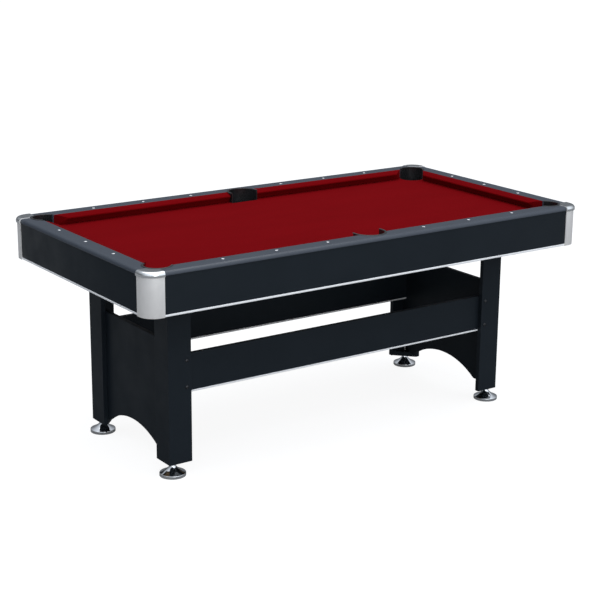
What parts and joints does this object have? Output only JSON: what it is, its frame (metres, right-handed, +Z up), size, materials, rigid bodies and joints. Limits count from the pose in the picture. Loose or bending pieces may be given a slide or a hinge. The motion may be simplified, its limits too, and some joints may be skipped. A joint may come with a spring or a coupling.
{
  "type": "pool table",
  "caption": "Rectangular six-pocket pool table of the small home size: red cloth, slate rails, cast corners, black cabinet, arched end frames and screw-in levelling feet.",
  "frame": {"origin": "on the floor under the middle of the table: bottom centre of the bounding box", "axes": "+X along the table's length towards the end with the ball return, +Y across its width, +Z up"},
  "size_m": [1.829, 0.969, 0.78],
  "materials": {
    "laminate": "near-black satin laminate over particle board",
    "rail_laminate": "slate-grey satin laminate over particle board",
    "felt": "deep red napped billiard cloth",
    "liner_plastic": "moulded black plastic with a soft gloss",
    "casting": "satin cast metal with a polished lip",
    "trim": "silver-white T-moulding",
    "chrome": "polished chrome plate",
    "zinc": "zinc-plated machine thread",
    "board": "raw particle board"
  },
  "bodies": {
    "table": {"apron_back": "laminate", "apron_front": "laminate", "apron_left": "laminate", "apron_right": "laminate", "apron_trim_back": "trim", "apron_trim_front": "trim", "apron_trim_left": "trim", "apron_trim_right": "trim", "ball_box": "liner_plastic", "bed_cloth": "felt", "corner_casting_back_left": "casting", "corner_casting_back_right": "casting", "corner_casting_front_left": "casting", "corner_casting_front_right": "casting", "cross_beam_left": "board", "cross_beam_right": "board", "cushion_back_left": "felt", "cushion_back_right": "felt", "cushion_front_left": "felt", "cushion_front_right": "felt", "cushion_left": "felt", "cushion_right": "felt", "end_panel_left": "laminate", "end_panel_right": "laminate", "foot_block_back_left": "laminate", "foot_block_back_right": "laminate", "foot_block_front_left": "laminate", "foot_block_front_right": "laminate", "gully_back": "liner_plastic", "gully_front": "liner_plastic", "leg_back_left": "laminate", "leg_back_right": "laminate", "leg_front_left": "laminate", "leg_front_right": "laminate", "middle_beam": "board", "playfield": "board", "pocket_liner_back_left": "liner_plastic", "pocket_liner_back_middle": "liner_plastic", "pocket_liner_back_right": "liner_plastic", "pocket_liner_front_left": "liner_plastic", "pocket_liner_front_middle": "liner_plastic", "pocket_liner_front_right": "liner_plastic", "rail_back": "rail_laminate", "rail_front": "rail_laminate", "rail_left": "rail_laminate", "rail_right": "rail_laminate", "return_bezel": "liner_plastic", "stretcher_back": "laminate", "stretcher_front": "laminate", "stretcher_trim_back": "trim", "stretcher_trim_front": "trim"},
    "foot_front_left": {"foot_front_left": "chrome"},
    "stud_front_left": {"stud_front_left": "zinc"},
    "foot_front_right": {"foot_front_right": "chrome"},
    "stud_front_right": {"stud_front_right": "zinc"},
    "foot_back_left": {"foot_back_left": "chrome"},
    "stud_back_left": {"stud_back_left": "zinc"},
    "foot_back_right": {"foot_back_right": "chrome"},
    "stud_back_right": {"stud_back_right": "zinc"}
  },
  "joints": [
    {"name": "foot_front_left_travel", "type": "slide", "parent": "table", "child": "foot_front_left", "axis": [0, 0, -1], "range_m": [0, 0.02]},
    {"name": "stud_front_left_spin", "type": "hinge", "parent": "foot_front_left", "child": "stud_front_left", "pos_m": [-0.6965, -0.2495, 0.06], "axis": [0, 0, -1], "range_deg": [0, 4800]},
    {"name": "foot_front_right_travel", "type": "slide", "parent": "table", "child": "foot_front_right", "axis": [0, 0, -1], "range_m": [0, 0.02]},
    {"name": "stud_front_right_spin", "type": "hinge", "parent": "foot_front_right", "child": "stud_front_right", "pos_m": [0.6965, -0.2495, 0.06], "axis": [0, 0, -1], "range_deg": [0, 4800]},
    {"name": "foot_back_left_travel", "type": "slide", "parent": "table", "child": "foot_back_left", "axis": [0, 0, -1], "range_m": [0, 0.02]},
    {"name": "stud_back_left_spin", "type": "hinge", "parent": "foot_back_left", "child": "stud_back_left", "pos_m": [-0.6965, 0.2495, 0.06], "axis": [0, 0, -1], "range_deg": [0, 4800]},
    {"name": "foot_back_right_travel", "type": "slide", "parent": "table", "child": "foot_back_right", "axis": [0, 0, -1], "range_m": [0, 0.02]},
    {"name": "stud_back_right_spin", "type": "hinge", "parent": "foot_back_right", "child": "stud_back_right", "pos_m": [0.6965, 0.2495, 0.06], "axis": [0, 0, -1], "range_deg": [0, 4800]}
  ],
  "couplings": [
    {"joint": "foot_front_left_travel", "follows": "stud_front_left_spin", "m_per_rad": 0.00023873},
    {"joint": "foot_front_right_travel", "follows": "stud_front_right_spin", "m_per_rad": 0.00023873},
    {"joint": "foot_back_left_travel", "follows": "stud_back_left_spin", "m_per_rad": 0.00023873},
    {"joint": "foot_back_right_travel", "follows": "stud_back_right_spin", "m_per_rad": 0.00023873}
  ]
}
